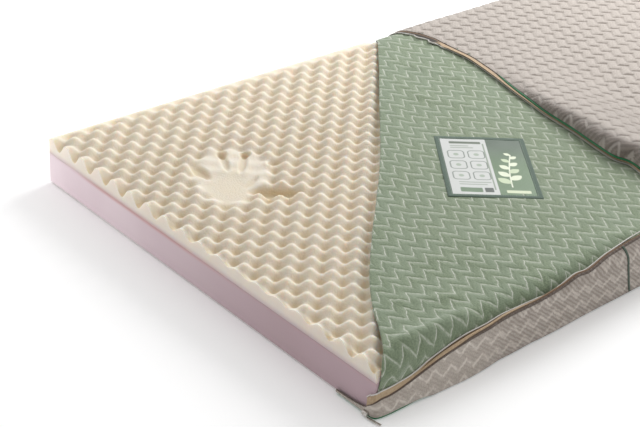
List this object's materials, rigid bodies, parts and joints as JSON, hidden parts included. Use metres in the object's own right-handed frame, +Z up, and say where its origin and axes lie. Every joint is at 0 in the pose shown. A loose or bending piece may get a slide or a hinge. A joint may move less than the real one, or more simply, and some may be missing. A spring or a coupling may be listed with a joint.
{
  "type": "mattress topper",
  "caption": "Single two-layer foam mattress topper with its zipped knitted covers opened and drawn back in a diagonal to show a convoluted foam surface.",
  "frame": {"origin": "centre of the foam's plan, on the resting surface under the topper", "axes": "+Y along the topper's length from its opened end to its closed end, +Z up, +X across towards the long side whose zip is open"},
  "size_m": [0.9244, 2.0127, 0.1404],
  "materials": {
    "foam_base": "open-cell polyurethane foam, matt lilac, sawn faces",
    "foam_top": "convoluted open-cell foam, matt cream",
    "inner_cover": "green jersey knit with pale zigzag stitching",
    "label_panel": "printed smooth label cloth, bare of lettering",
    "label_binding": "dark green grosgrain binding tape",
    "cover_top": "taupe double knit, softly quilted",
    "cover_border": "taupe ribbed knit",
    "cover_bottom": "plain taupe knit",
    "zip_tape": "tan woven zip tape",
    "zip_coil": "pale nylon zip coil",
    "zip_metal": "bright die-cast zinc",
    "piping": "green woven piping",
    "border_strip": "dark green flat knit strip"
  },
  "bodies": {
    "root": {"foam_base": "foam_base", "foam_top": "foam_top", "inner_cover": "inner_cover", "label_panel": "label_panel", "label_binding": "label_binding", "cover_top": "cover_top", "cover_border": "cover_border", "cover_bottom": "cover_bottom", "zip_tape_upper": "zip_tape", "zip_tape_lower": "zip_tape", "zip_coil_upper": "zip_coil", "zip_coil_lower": "zip_coil", "zip_slider": "zip_metal", "zip_pull": "zip_metal", "piping_top": "piping", "piping_bottom": "piping", "border_strip": "border_strip"}
  },
  "joints": []
}
